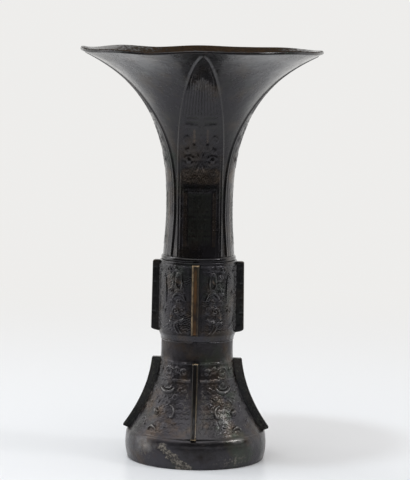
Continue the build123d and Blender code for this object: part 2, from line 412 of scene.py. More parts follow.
# Cast skin: the fine grain, soft dents and small pits that the mould left in the metal.
skin, depths, skin_out = node_group(
    "cast_skin",
    "ShaderNodeTree",
    {"Grain": "Float", "Pits": "Float", "Dents": "Float"},
    {"Height": "Float"},
)
fine_grain = combine(skin, "MULTIPLY", noise(skin, 900, 5, 0.6, (0.0, 0.0, 0.0)), depths["Grain"])
skin_height = combine(skin, "ADD", fine_grain, noise(skin, 380, 3, 0.55, (1.0, 3.0, 6.0)))
soft_dents = combine(skin, "MULTIPLY", noise(skin, 160, 3, 0.5, (4.0, 1.0, 2.0)), depths["Dents"])
skin_height = combine(skin, "ADD", skin_height, soft_dents)
pit_places = between(skin, noise(skin, 420, 2, 0.5, (2.0, 5.0, 3.0)), 0.36, 0.28)
small_pits = combine(skin, "MULTIPLY", pit_places, depths["Pits"])
feed(skin, skin_out, {"Height": combine(skin, "SUBTRACT", skin_height, small_pits)})


def placed_effect(tree, group, values):
    return add_node(tree, "ShaderNodeGroup", values, node_tree=group).outputs


# Old bronze: a dark, tinted metal under an uneven coat of wax. Dirt and earth dull it and take the wax off.
bare_metal_share = 0.93
earth_hides_metal = 0.8
dirt_roughness = 0.2
earth_roughness = 0.65
worn_polish = 0.04
dirt_takes_wax = 0.35


def old_bronze(
    name, deep, body, warm, bloom, worn_and_highlight, dirt, soil_tones, rub_from, rub_to, rough, wax, grain, pits, dents,
    earth_gloss=0.3,
):
    material = bpy.data.materials.new(name)
    material.use_nodes = True
    tree = material.node_tree
    tone = placed_effect(tree, mottling, {"Deep": deep, "Body": body, "Warm": warm, "Bloom": bloom})
    marks = placed_effect(tree, wear_highlight_dirt, {"Worn from": rub_from, "Worn to": rub_to})
    texture = placed_effect(tree, skin, {"Grain": grain, "Pits": pits, "Dents": dents})
    earth = placed_effect(tree, soil, {"Dark": soil_tones[0], "Pale": soil_tones[1]})
    coloured = blend_colours(tree, marks["Dirt"], tone["Colour"], dirt)
    # The worn tone paints both rubbed bronze and the painted highlights laid on the rub marks.
    coloured = blend_colours(tree, marks["Worn and highlight"], coloured, worn_and_highlight)
    coloured = blend_colours(tree, earth["Share"], coloured, earth["Colour"])
    metal = with_share(tree, bare_metal_share, earth["Share"], -earth_hides_metal)
    satin = between(tree, tone["Cloud"], 0.0, 1.0, *rough)
    satin = with_share(tree, satin, marks["Dirt"], dirt_roughness)
    satin = with_share(tree, satin, earth["Share"], earth_roughness)
    satin = with_share(tree, satin, marks["Worn and highlight"], -worn_polish)
    waxed = between(tree, tone["Cloud"], 0.0, 1.0, *wax)
    waxed = with_share(tree, waxed, marks["Dirt"], -dirt_takes_wax)
    waxed = combine(tree, "SUBTRACT", waxed, earth["Share"])
    bumpy = {"Strength": 0.6, "Distance": 0.25 * MM, "Height": texture["Height"]}
    surface = {
        "Base Color": coloured,
        "Metallic": metal,
        "Roughness": satin,
        "IOR": 1.45,
        "Specular IOR Level": earth_gloss,
        "Coat Weight": combine(tree, "MAXIMUM", waxed, 0.0),
        "Coat Roughness": 0.14,
        "Coat IOR": 1.5,
        "Normal": add_node(tree, "ShaderNodeBump", bumpy).outputs["Normal"],
    }
    feed(tree, tree.nodes["Principled BSDF"], surface)
    return material


flare_row_count = 116
foot_flare = flare_line(flare_radius, flare_top, flare_foot, flare_row_count)
band = band_line(low=1.2, high=13.2, spacing=0.52)
band_foot = (40.7, 0)
shoulder_end = (40.7, 18.05)
foot_loop = joined(
    straight((foot_hollow_radius, 0), band_foot, 1.3),
    bend(band_foot, (41.7, 0), band[0], 6),
    band,
    bend(band[-1], (42.7, 17.6), shoulder_end, 12),
    foot_flare,
    through(
        (waist_radius, flare_top),
        (0.9, (waist_radius, foot_top)),
        (1.6, (collar_radius, foot_top)),
        (6, (collar_radius, ledge_top)),
        (3.2, (ledge_radius, ledge_top)),
        (4, (ledge_radius, ledge_base)),
        (5, (upper_hollow_radius, ledge_base)),
        (6, (upper_hollow_radius, upper_hollow_base)),
        (4, (foot_hollow_radius, band_hollow_top)),
        (5, (foot_hollow_radius, 4)),
    ),
)
panel_columns = 129
panel_angle = np.radians(np.linspace(0, 90, panel_columns))
flare_rows = rows_of(foot_loop, foot_flare)
flare_run = run_along(foot_flare)
across = panel_angle[None, :] * foot_flare[:, :1]
upward = np.repeat(flare_run[:, None], len(panel_angle), axis=1)


def foot_spot(degrees, height):
    radius = np.interp(height, foot_flare[:, 1], foot_flare[:, 0])
    return math.radians(degrees) * radius, np.interp(height, foot_flare[:, 1], flare_run)


def foot_path(*spots):
    return [foot_spot(*spot) for spot in spots]


ground_fade = ramp(across, 2.6, 0.8) * ramp(upward, 1.2, 0.8)
ground_fade = ground_fade * ramp(upward, foot_spot(0, 61.5)[1], -0.8)
foot_carving = 0.3 * spiral_ground(across, upward, cell=3.1, pitch=1.05) * ground_fade
smile = bow(foot_spot(42, 46.6), 5.2, 3.4, 195, 345)
inner_smile = bow(foot_spot(42, 47.2), 3.2, 2.0, 195, 345)
top_brow = bow(foot_spot(43, 55.6), 3.6, 2.6, 20, 160)
arch = bow(foot_spot(42, 21.0), 3.2, 2.8, 10, 170)
hook = bow(foot_spot(28, 32.5), 2.4, 3.6, 85, 275)
foot_raised_forms = (
    (smile, swelling(smile, 1.1, 0.4), 1.6),
    (inner_smile, swelling(inner_smile, 0.7, 0.35), 1.0),
    (top_brow, swelling(top_brow, 0.8, 0.4), 1.1),
    (bow(foot_spot(43, 55.4), 1.9, 1.5, 10, 350, 20), 0.5, 0.8),
    (bow(foot_spot(43, 52.6), 3.4, 1.3, 200, 340), 0.5, 0.8),
    (arch, swelling(arch, 1.05, 0.4), 1.5),
    (hook, swelling(hook, 1.0, 0.35), 1.5),
)
foot_scrolls = (
    (curl(foot_spot(18, 55.6), 0.4, 2.2, 30, -1.2), 0.5, 0.85),
    (curl(foot_spot(30, 56.8), 0.4, 1.9, 160, 1.2), 0.45, 0.8),
    (curl(foot_spot(64, 56), 0.4, 2.4, 20, -1.3), 0.5, 0.85),
    (curl(foot_spot(52, 38), 0.4, 2.2, 10, 1.2), 0.45, 0.7),
    (curl(foot_spot(36, 37.2), 0.4, 2.0, 170, -1.2), 0.45, 0.7),
    (curl(foot_spot(62, 25), 0.4, 2.8, 90, 1.4), 0.55, 0.9),
    (curl(foot_spot(68, 43), 0.4, 2.6, 90, -1.3), 0.5, 0.85),
    (foot_path((7, 50.4), (30, 50.6), (60, 50.6), (84, 50.4)), 0.5, 0.75),
    (foot_path((7, 61), (45, 61), (84, 61)), 0.4, 0.5),
    (foot_path((9, 46), (9, 36), (8, 24)), 0.34, 0.25),
    (curl(foot_spot(20, 44.4), 0.3, 1.7, 40, 1.2), 0.42, 0.6),
    (curl(foot_spot(27, 40.4), 0.3, 1.8, 200, -1.3), 0.42, 0.65),
    (curl(foot_spot(17, 36.0), 0.3, 1.6, 90, 1.2), 0.4, 0.55),
    (curl(foot_spot(20, 26.6), 0.3, 1.7, 10, -1.2), 0.42, 0.6),
    (curl(foot_spot(30, 24.4), 0.3, 1.6, 150, 1.2), 0.4, 0.6),
    (curl(foot_spot(57, 45.4), 0.3, 1.8, 60, 1.2), 0.42, 0.65),
    (curl(foot_spot(74, 33), 0.4, 2.2, 160, 1.3), 0.45, 0.7),
    (curl(foot_spot(76, 24), 0.4, 2.0, 20, -1.2), 0.45, 0.7),
    (bow(foot_spot(60, 34), 2.0, 3.0, -70, 70), 0.5, 0.8),
    (foot_path((81, 46), (81.5, 34), (82.5, 24)), 0.34, 0.6),
    (bow(foot_spot(47.5, 31.3), 3.2, 3.0, 0, 360, 26), 0.35, 0.5),
)
foot_carving = carved(foot_carving, across, upward, foot_raised_forms, domed=True)
foot_carving = carved(foot_carving, across, upward, foot_scrolls, share=0.9)
foot_carving = np.maximum(foot_carving, 2.1 * boss(across, upward, foot_spot(47.5, 31.3), 2.0))
foot_carving = np.maximum(foot_carving, 1.0 * boss(across, upward, foot_spot(42, 48.2), 1.0))


def rubbed_unevenly(x, y):
    # Old relief is not worn alike all over: this slow, uneven field lowers it in places.
    slow = np.sin(0.83 * x + 0.57 * y + 1.0) + np.sin(1.21 * y - 0.71 * x) + np.sin(1.57 * x + 2.2)
    lumps = np.sin(3.9 * x + 1.3 * y) * np.sin(3.3 * y - 1.7 * x + 0.6)
    return 0.78 + 0.07 * slow, 0.07 * lumps


kept_share, lumps = rubbed_unevenly(across, upward)
foot_carving = foot_carving * kept_share + lumps * ground_fade
foot_relief = on_rows(foot_loop, flare_rows, foot_carving)
flange_side_earth = 0.3 * soft_patch(across, upward, centre=(5.5, 24.0), spread=(3.0, 14.0))
foot_earth = on_rows(foot_loop, flare_rows, flange_side_earth)


def both_panels(panel):
    return np.concatenate([panel, panel[:, -2::-1]], axis=1)


def both_panel_angles(panel):
    return np.concatenate([panel, math.pi - panel[-2::-1]]) - math.pi / 2


half_turn = both_panel_angles(panel_angle)
foot_bronze = old_bronze(
    "foot_bronze",
    deep=(0.026, 0.024, 0.026), body=(0.059, 0.056, 0.064), warm=(0.070, 0.052, 0.041),
    bloom=(0.047, 0.055, 0.044), worn_and_highlight=(0.32, 0.31, 0.30), dirt=(0.020, 0.016, 0.013),
    soil_tones=((0.050, 0.045, 0.040), (0.23, 0.21, 0.185)),
    rub_from=0.15, rub_to=0.65, rough=(0.3, 0.44), wax=(0.4, 0.1), grain=0.8, pits=0.8, dents=4.5,
)
foot_askew = -1.7
# The foot is darkened from the top of the flare up through the waist, under the knop.
waist_darkening = 0.2 * ramp(foot_loop[:, 1], 61.0, 3.0) * (foot_loop[:, 0] > collar_radius + 1)
foot_darkening = np.repeat(waist_darkening[:, None], len(half_turn), axis=1)
foot_share = turned_share(
    "foot", foot_loop, half_turn, both_panels(foot_relief), foot_darkening, both_panels(foot_earth)
)
foot = cast("foot_casting", foot_share, turns=2, material=foot_bronze, crease=55, askew=foot_askew)

# The filled stretch: a crack across the band, from upper left to lower right, filled with gritty paste
# a little below flush. Specks of earth cling to the band at the left and low at the right.
fill_start = (-20.4, 13.6)
fill_end = (-4.2, -0.6)
fill_half_width = (2.2, 3.5)
fill_sunk = 0.25
fill_grit = 0.2
spots = read_places(foot.data) / MM
spot_z = spots[:, 2]
reach_out = np.hypot(spots[:, 0], spots[:, 1])
outside = reach_out > foot_hollow_radius + 0.5
band_x = np.arctan2(spots[:, 0], -spots[:, 1]) * band_radius
ragged = 0.7 * np.sin(1.1 * spot_z + 0.8) + 0.5 * np.sin(2.7 * spot_z + 0.6 * band_x)
filled = ridge(band_x + ragged, spot_z, [fill_start, fill_end], fill_half_width, soft=1.0)
filled = filled * outside * (spot_z < flare_foot + 0.5)
grit = np.sin(4.1 * band_x + 2.3 * spot_z) * np.sin(3.7 * spot_z - 1.9 * band_x)
fill_share = filled * (0.68 + 0.12 * grit)
left_specks = 0.34 * soft_patch(band_x, spot_z, centre=(-34.0, 9.0), spread=(10.0, 6.0))
right_specks = 0.4 * soft_patch(band_x, spot_z, centre=(24.0, 4.5), spread=(12.0, 4.0))
specks = np.maximum(left_specks, right_specks) * outside
soil_share = np.maximum(np.maximum(read_values(foot.data, "earth"), specks), fill_share)
write_values(foot.data, "earth", soil_share)

# Painted highlights lighten the band's shoulder left and right of the front, and dirt has stayed between.
kept_share, lumps = rubbed_unevenly(band_x, spot_z)
# Painted highlight: a broad one on the upper left of the band and a narrow one on the right shoulder.
left_band_highlight = soft_patch(band_x, spot_z, centre=(-33.0, 12.8), spread=(11.0, 5.0))
left_band_highlight = (0.47 * kept_share + lumps) * left_band_highlight
right_band_highlight = 0.6 * soft_patch(band_x, spot_z, centre=(26.0, 16.6), spread=(6.0, 1.5))
soiled = 0.3 * soft_patch(band_x, spot_z, centre=(4.0, 8.0), spread=(11.0, 6.0)) * kept_share
band_highlight_and_dirt = (np.maximum(left_band_highlight, right_band_highlight) - soiled) * outside
write_values(foot.data, "rub_and_highlight", read_values(foot.data, "rub_and_highlight") + band_highlight_and_dirt)
spots[:, :2] *= (1 - filled * (fill_sunk - fill_grit * grit) / reach_out)[:, None]
write_places(foot.data, spots * MM)
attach(foot, "root")
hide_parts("foot")

# Foot flanges
# Four cast strips that stand out from the flare and follow its curve down to the band.
# They are let into slots in the foot; the outer edge has two rubbed arrises with a shallow channel between.
flange_groove = 0.45
arris_round = 0.7
channel_share = 0.52
channel_slope = 0.3


def flange_mesh(name, inner, outer, half_thick, scoring, arris_wear_and_highlight, side_earth):
    rows = len(inner)
    reach = float(np.median(np.hypot(*(outer - inner).T)))
    corner = np.radians(np.linspace(0, 90, 5))
    side = [(-half_thick, k) for k in np.linspace(0, reach - arris_round, 9)]
    left_arris = [
        (arris_round * (1 - math.cos(t)) - half_thick, reach - arris_round * (1 - math.sin(t)))
        for t in corner[1:]
    ]
    channel_edge = half_thick * channel_share
    left_channel = [
        (-channel_edge, reach),
        (-channel_edge + channel_slope, reach - flange_groove * 0.8),
        (-channel_edge * 0.4, reach - flange_groove),
    ]
    left_half = side + left_arris + left_channel
    section = np.array(left_half + [(-w, k) for w, k in reversed(left_half)])
    share = section[:, 1] / reach
    wear = np.clip((section[:, 1] - reach + arris_round * 1.1) / (arris_round * 0.8), 0, 1)
    in_channel = np.abs(section[:, 0]) < channel_edge - 0.05
    wear = wear * np.where(in_channel, 0, 1)
    # Each arris gets its own share of wear; on the knop strips the lighter left one is a painted highlight.
    wear = wear * np.where(section[:, 0] < 0, *arris_wear_and_highlight)
    sunk = np.where(in_channel & (share > 0.5), 1.0, 0.0)
    run = run_along(inner)
    places = np.empty((rows, len(section), 3))
    for i in range(rows):
        meridian = inner[i] + (outer[i] - inner[i]) * share[:, None]
        cut = scoring(run[i], run[-1], section[:, 1], reach)
        across_strip = section[:, 0] - np.sign(section[:, 0]) * cut * (share < 0.9)
        places[i] = np.column_stack([across_strip, -meridian[:, 0], meridian[:, 1]])
    index = np.arange(rows * len(section)).reshape(rows, -1)
    nxt = np.roll(index, -1, axis=1)
    faces = np.stack([index[:-1], nxt[:-1], nxt[1:], index[1:]], -1).reshape(-1, 4).tolist()
    faces.append(index[0][::-1].tolist())
    faces.append(index[-1].tolist())
    mesh = bpy.data.meshes.new(name)
    mesh.from_pydata((places * MM).reshape(-1, 3).tolist(), [], faces)
    ends = np.minimum(run, run[-1] - run)[:, None]
    end_wear = np.clip(1 - ends / 1.2, 0, 1) * np.where(share > 0.72, 1, 0)
    fouling = 0.3 + 0.11 * np.sin(0.2 * run + 2.2) + 0.05 * np.sin(0.83 * run + 1.0)
    rub_and_highlight = np.maximum(wear[None], end_wear) - fouling[:, None] * sunk * (end_wear < 0.2)
    earth = np.broadcast_to(np.where(share < 0.9, side_earth, 0.0), rub_and_highlight.shape)
    for label, value in (("relief", np.zeros_like(rub_and_highlight)), ("rub_and_highlight", rub_and_highlight), ("earth", earth)):
        write_values(mesh, label, value)
    mesh.attributes.new("outward", "FLOAT_VECTOR", "POINT")
    return mesh


def brighten_front_strip(piece, least):
    # The arrises are brightest on the strip that faces front and dimmed on the side strips, by facing alone:
    # painted highlight.
    place = read_places(piece.data)
    rub_and_highlight = read_values(piece.data, "rub_and_highlight")
    facing = np.clip(-place[:, 1] / np.maximum(np.hypot(place[:, 0], place[:, 1]), 1e-6), 0, 1)
    write_values(piece.data, "rub_and_highlight", np.where(rub_and_highlight > 0, rub_and_highlight * (least + (1 - least) * facing**2), rub_and_highlight))


def hump(value, centre, spread):
    return np.exp(-(((value - centre) / spread) ** 2))


def foot_scoring(run, length, depth, reach):
    return 0.22 * hump(depth, reach * 0.55, 0.45) * (1.5 < run < length - 1.5)


foot_flange_top = 61.6
foot_flange_end = flare_foot - 1.6
foot_flange_outer_end = 18.9
foot_flange_reach = 5.3
foot_flange_taper = 1.4
slot_depth = 1.3
strip_rows = 90
strip_share = np.linspace(0, 1, strip_rows)
strip_inner = flare_line(flare_radius + slot_depth, foot_flange_top, foot_flange_end, strip_rows)
strip_radius = flare_radius - foot_flange_reach + foot_flange_taper * (1 - strip_share) ** 4
strip_height = foot_flange_outer_end + (foot_flange_top - foot_flange_outer_end) * strip_share
strip_outer = np.column_stack(
    [flare_centre - np.sqrt(strip_radius**2 - (flare_top - strip_height) ** 2), strip_height]
)
strip_round = np.clip(np.minimum(strip_share, 1 - strip_share) / 0.016, 0, 1)[:, None]
strip_outer = strip_inner + (strip_outer - strip_inner) * (0.9 + 0.1 * np.sqrt(strip_round))
strip_patina = {
    "deep": (0.015, 0.015, 0.016),
    "bloom": (0.026, 0.030, 0.027),
    "soil_tones": ((0.030, 0.031, 0.025), (0.10, 0.105, 0.085)),
    "rough": (0.34, 0.5),
    "wax": (0.4, 0.1),
    "grain": 0.8,
    "pits": 0.8,
    "dents": 2.0,
}
foot_strip_bronze = old_bronze(
    "foot_strip_bronze", **strip_patina,
    body=(0.029, 0.029, 0.032), warm=(0.032, 0.027, 0.024),
    worn_and_highlight=(0.44, 0.33, 0.20), dirt=(0.014, 0.012, 0.011), rub_from=0.3, rub_to=1.1,
)
foot_strip = flange_mesh(
    "foot_strip", strip_inner, strip_outer,
    half_thick=1.7, scoring=foot_scoring, arris_wear_and_highlight=(0.34, 0.46), side_earth=0.3,
)
foot_flanges = cast(
    "foot_flange_strips", foot_strip, turns=4, material=foot_strip_bronze, crease=40, askew=foot_askew
)
side_strip_brightness = 0.3
brighten_front_strip(foot_flanges, side_strip_brightness)
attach(foot_flanges, "root")
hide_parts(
    "foot_flange_front", "foot_flange_right", "foot_flange_back", "foot_flange_left"
)

# Floor disc
# A plain cast disc that rests on a ledge in the foot's collar and closes the bottom of the well.
# It sits under the knop's spigot in a film of solder and is only seen by looking down the neck.
floor_low, floor_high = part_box("floor_disc")
disc_radius = floor_high.x / MM
disc_base = floor_low.z / MM
disc_top = floor_high.z / MM
disc_dish = 0.5
disc_round = 0.6
disc_flat = disc_radius - disc_round
dish_line = np.column_stack([np.linspace(disc_flat, 0, 14), np.zeros(14)])
dish_line[:, 1] = disc_top - disc_dish * (1 - (dish_line[:, 0] / disc_radius) ** 2)
disc_loop = joined(
    straight((0, disc_base), (disc_flat, disc_base), 4),
    bend((disc_flat, disc_base), (disc_radius, disc_base), (disc_radius, disc_base + disc_round)),
    bend((disc_radius, disc_top - disc_round), (disc_radius, disc_top), (disc_flat, disc_top)),
    dish_line,
)
quarter_turn = np.radians(np.linspace(-135, -45, 25))
disc_share = turned_share("disc", disc_loop, quarter_turn, np.zeros((len(disc_loop), len(quarter_turn))))
floor_bronze = old_bronze(
    "floor_bronze",
    deep=(0.030, 0.024, 0.020), body=(0.055, 0.043, 0.033), warm=(0.080, 0.055, 0.036),
    bloom=(0.060, 0.070, 0.050), worn_and_highlight=(0.16, 0.13, 0.10), dirt=(0.025, 0.017, 0.011),
    soil_tones=((0.03, 0.02, 0.014), (0.09, 0.065, 0.045)),
    rub_from=0.2, rub_to=0.6, rough=(0.5, 0.65), wax=(0.2, 0.0), grain=1.0, pits=1.0, dents=2.0,
)
floor_disc = cast("well_floor", disc_share, turns=4, material=floor_bronze, crease=50)
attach(floor_disc, "root")
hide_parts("floor_disc")

# Knop
# The drum at the middle, a separate bronze casting with a spigot below and an open bore above.
# Four panels between the flanges carry half a horned mask each, in relief on a spiral ground.
knop_low, knop_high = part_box("knop")
knop_radius = knop_high.x / MM
knop_top = knop_high.z / MM
knop_seat = foot_top
knop_shoulder = 4.5
knop_bore = 20.0
knop_well = 83.0
spigot_radius = 18.3
spigot_bore = 16.0
spigot_end = knop_low.z / MM
knop_round = 0.9
drum_end = (knop_radius, knop_top - knop_round)
drum_line = straight((knop_radius, knop_seat + knop_shoulder), drum_end, 0.3)
knop_loop = joined(
    straight((waist_radius, knop_seat), (waist_radius + 0.35, knop_seat + 0.5), 0.3),
    straight((waist_radius + 0.1, knop_seat + 0.9), (waist_radius + 0.55, knop_seat + 1.3), 0.3),
    straight((waist_radius + 0.5, knop_seat + 1.9), (knop_radius, knop_seat + knop_shoulder), 0.4),
    drum_line,
    bend(drum_end, (knop_radius, knop_top), (knop_radius - knop_round, knop_top), 7),
    through(
        (knop_radius - knop_round, knop_top),
        (1.4, (knop_bore, knop_top)),
        (8, (knop_bore, knop_well)),
        (2, (spigot_bore, knop_well)),
        (6, (spigot_bore, spigot_end)),
        (2.4, (spigot_radius, spigot_end)),
        (5, (spigot_radius, knop_seat)),
    ),
)
drum_rows = rows_of(knop_loop, drum_line)
drum_angle = np.radians(np.linspace(0, 90, 121))
drum_x = np.repeat(drum_angle[None] * knop_radius, len(drum_line), axis=0)
drum_z = np.repeat(drum_line[:, 1:], len(drum_angle), axis=1)
drum_fade = ramp(drum_x, 2.8, 0.6) * ramp(drum_x, 34.0, -0.6)
drum_fade = drum_fade * ramp(drum_z, 79.5, 0.8) * ramp(drum_z, 119.2, -0.6)
ground_height = 0.1 + 0.2 * hump(drum_x, 11.0, 6.0)
knop_carving = ground_height * spiral_ground(drum_x, drum_z, cell=2.9, pitch=1.0) * drum_fade
brow = bow((10.6, 98.6), 4.3, 4.8, 20, 170)
horn = bow((10.4, 110.4), 2.0, 5.2, 0, 360, 30)
jaw = [(7.0, 88.6), (9.5, 86.4), (13.0, 85.2), (17.0, 86.0)]
knop_raised_forms = (
    (horn, 0.8, 1.15),
    (brow, swelling(brow, 1.2, 0.45), 1.2),
    (jaw, (0.5, 1.0, 1.0, 0.5), 1.0),
    (curl((12.4, 92.6), 0.4, 2.5, 60, -1.3), 0.7, 1.0),
    ([(20.8, 97.5), (20.6, 104.0), (21.2, 111.5)], (0.5, 1.0, 0.6), 0.7),
)
knop_scrolls = (
    (bow((10.6, 98.8), 2.6, 2.8, 30, 150), 0.5, 0.7),
    (bow((10.9, 97.6), 3.4, 2.6, 215, 300), 0.5, 0.6),
    (curl((9.4, 117.9), 0.3, 1.6, 20, 1.2), 0.42, 0.8),
    (curl((13.4, 118.0), 0.3, 1.5, 160, -1.2), 0.42, 0.8),
    (curl((17.6, 117.4), 0.3, 1.8, 20, 1.2), 0.45, 0.8),
    (curl((15.4, 112.2), 0.3, 2.0, 90, -1.2), 0.45, 0.8),
    (curl((16.6, 104.6), 0.3, 2.2, 200, 1.3), 0.5, 0.85),
    ([(11.2, 84.2), (10.2, 81.6), (8.6, 79.6)], (0.5, 0.5, 0.3), 0.8),
    ([(13.2, 83.6), (12.2, 81.2), (10.8, 79.4)], (0.5, 0.5, 0.3), 0.8),
    ([(4.1, 79.6), (4.1, 119.4)], 0.32, 0.35),
    ([(5.9, 80.2), (5.7, 100.0), (6.2, 119.0)], 0.32, 0.3),
    (curl((7.6, 104.6), 0.3, 1.5, 30, 1.2), 0.4, 0.7),
    (curl((14.4, 107.6), 0.3, 1.5, 150, -1.2), 0.4, 0.7),
    (curl((15.8, 97.4), 0.3, 1.5, 80, 1.2), 0.4, 0.7),
    (curl((7.6, 93.0), 0.3, 1.4, 200, -1.2), 0.4, 0.7),
    (bow((10.6, 102.8), 3.4, 2.2, 25, 155), 0.45, 0.8),
    (bow((11.0, 88.4), 3.0, 1.6, 200, 340), 0.45, 0.7),
    (curl((23.4, 112.6), 0.3, 2.1, 180, -1.3), 0.5, 0.6),
    (curl((22.6, 92.4), 0.4, 2.7, 30, 1.3), 0.55, 0.6),
    ([(18.6, 83.4), (23.0, 82.4), (27.4, 84.6), (28.6, 90.0)], (0.4, 0.8, 0.8, 0.4), 0.6),
    (curl((27.0, 102.4), 0.4, 2.6, 90, -1.4), 0.55, 0.6),
    (curl((27.8, 116.6), 0.3, 2.0, 20, 1.2), 0.45, 0.8),
    ([(31.2, 80.4), (31.4, 118.8)], 0.32, 0.6),
    ([(33.0, 79.8), (33.0, 119.4)], 0.32, 0.6),
    ([(3.0, 119.6), (34.0, 119.6)], 0.3, 0.45),
)
knop_carving = carved(knop_carving, drum_x, drum_z, knop_raised_forms, domed=True)
knop_carving = carved(knop_carving, drum_x, drum_z, knop_scrolls, share=0.8)
for centre, radius, height in (((10.6, 98.4), 1.6, 1.35), ((15.3, 90.4), 1.2, 1.1), ((15.6, 87.8), 1.0, 0.9)):
    knop_carving = np.maximum(knop_carving, height * boss(drum_x, drum_z, centre, radius))
kept_share, lumps = rubbed_unevenly(drum_x, drum_z)
knop_carving = 1.1 * knop_carving * kept_share + lumps * drum_fade
knop_relief = on_rows(knop_loop, drum_rows, knop_carving)
horn_hollow = 0.5 * boss(drum_x, drum_z, (10.4, 110.4), 2.2)
jaw_lumps = 0.4 * boss(drum_x, drum_z, (15.4, 89.2), 2.6)
knop_earth = on_rows(knop_loop, drum_rows, np.maximum(horn_hollow, jaw_lumps))
knop_bronze = old_bronze(
    "knop_bronze",
    deep=(0.021, 0.020, 0.022), body=(0.043, 0.041, 0.047), warm=(0.051, 0.040, 0.033),
    bloom=(0.034, 0.040, 0.034), worn_and_highlight=(0.34, 0.33, 0.32), dirt=(0.016, 0.013, 0.011),
    soil_tones=((0.07, 0.050, 0.036), (0.15, 0.115, 0.088)),
    rub_from=0.15, rub_to=0.65, rough=(0.2, 0.34), wax=(0.45, 0.12), grain=0.8, pits=0.8, dents=2.5,
)
knop_askew = -3.3
knop_share = turned_share(
    "knop", knop_loop, both_panel_angles(drum_angle), both_panels(knop_relief), earth=both_panels(knop_earth)
)
knop = cast("knop_drum", knop_share, turns=2, material=knop_bronze, crease=55, askew=knop_askew)
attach(knop, "root")
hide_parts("knop")

# Knop flanges
# Four upright cast strips let into slots in the drum, square at the top and cut back to a heel below.
# Their arrises are rubbed to a tan bronze, the left one painted lighter as a highlight, and the channel
# between holds red-brown dirt.
knop_flange_top = 121.0
knop_flange_low = 77.8
heel_height = 1.6
knop_flange_reach = 28.0
knop_flange_lean = 0.25
knop_slot_radius = 22.1
upright = np.linspace(knop_flange_low, knop_flange_top, 96)
upright_share = np.linspace(1, -1, len(upright))
edge_line = knop_flange_reach + knop_flange_lean * upright_share
heel_share = np.sqrt(ramp(upright, knop_flange_low, heel_height))
heel_line = knop_radius + 0.2 + (edge_line[0] - knop_radius) * heel_share
top_round = 1.1
round_share = np.clip((upright - knop_flange_top) / top_round + 1, 0, 1)
top_line = edge_line - top_round * (1 - np.sqrt(1 - round_share**2))
knop_strip_inner = np.column_stack([np.full(len(upright), knop_slot_radius), upright])
knop_strip_outer = np.column_stack([np.minimum(np.minimum(edge_line, heel_line), top_line), upright])


def knop_scoring(run, length, depth, reach):
    line = hump(depth, reach * 0.5, 0.4)
    rungs = hump((run + 2.0) % 9.0, 4.5, 0.5)
    return 0.2 * np.maximum(line, rungs * (depth > reach * 0.5)) * (4.5 < run < length - 1.5)


knop_strip_bronze = old_bronze(
    "knop_strip_bronze", **strip_patina,
    body=(0.029, 0.028, 0.030), warm=(0.034, 0.028, 0.024),
    worn_and_highlight=(0.48, 0.35, 0.21), dirt=(0.14, 0.078, 0.038), rub_from=0.1, rub_to=1.0,
)
# The left arris is made lighter than the right: painted highlight on the side the light comes from.
knop_strip = flange_mesh(
    "knop_strip", knop_strip_inner, knop_strip_outer,
    half_thick=2.15, scoring=knop_scoring, arris_wear_and_highlight=(0.62, 0.2), side_earth=0.16,
)
knop_flanges = cast(
    "knop_flange_strips", knop_strip, turns=4, material=knop_strip_bronze, crease=40, askew=knop_askew
)
brighten_front_strip(knop_flanges, side_strip_brightness)
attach(knop_flanges, "root")
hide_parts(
    "knop_flange_front", "knop_flange_right", "knop_flange_back", "knop_flange_left"
)

# Neck
# A thin-walled bronze trumpet cast with four tall raised blades, its spigot seated in the knop's bore.
# Each blade has a rim, a fluted tip, a small mask and a framed lower panel; the lip waves a little.
neck_low, neck_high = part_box("neck")
mouth_radius = neck_high.x / MM - 1.4
lip_top = neck_high.z / MM
lip_foot = lip_top - 2.3
neck_seat = knop_top
throat_radius = 19.6
throat_height = 150.0
flare_rise = lip_foot - throat_height
flare_swing = 43.5
flare_power = 2.9
lip_swing = mouth_radius - throat_radius - flare_swing
lip_power = 10
seat_flare = 1.4
seat_flare_top = 125.0
neck_wall = 2.8
lip_wall = 2.3
neck_bore = 17.9
bead_radius = 22.7
neck_spigot = 19.9
neck_spigot_end = neck_low.z / MM


def neck_radius(z):
    below = ramp(z, throat_height, seat_flare_top - throat_height)
    above = np.clip((z - throat_height) / flare_rise, 0, None)
    flare = flare_swing * above**flare_power + lip_swing * above**lip_power
    return throat_radius + seat_flare * below**1.3 + flare


def neck_slope(z):
    above = np.clip((z - throat_height) / flare_rise, 0, None)
    gentle = flare_swing * flare_power * above ** (flare_power - 1)
    return (gentle + lip_swing * lip_power * above ** (lip_power - 1)) / flare_rise


def neck_inside(z):
    share = ramp(z, throat_height, flare_rise)
    slant = (neck_wall + (lip_wall - neck_wall) * share) / np.sqrt(1 + neck_slope(z) ** 2)
    return np.column_stack([np.maximum(neck_radius(z) - slant, neck_bore), z + slant * neck_slope(z)])


def neck_heights(low, high, count):
    z = np.linspace(low, high, 2000)
    run = run_along(np.column_stack([z, neck_radius(z)]))
    return np.interp(np.linspace(0, run[-1], count), run, z)


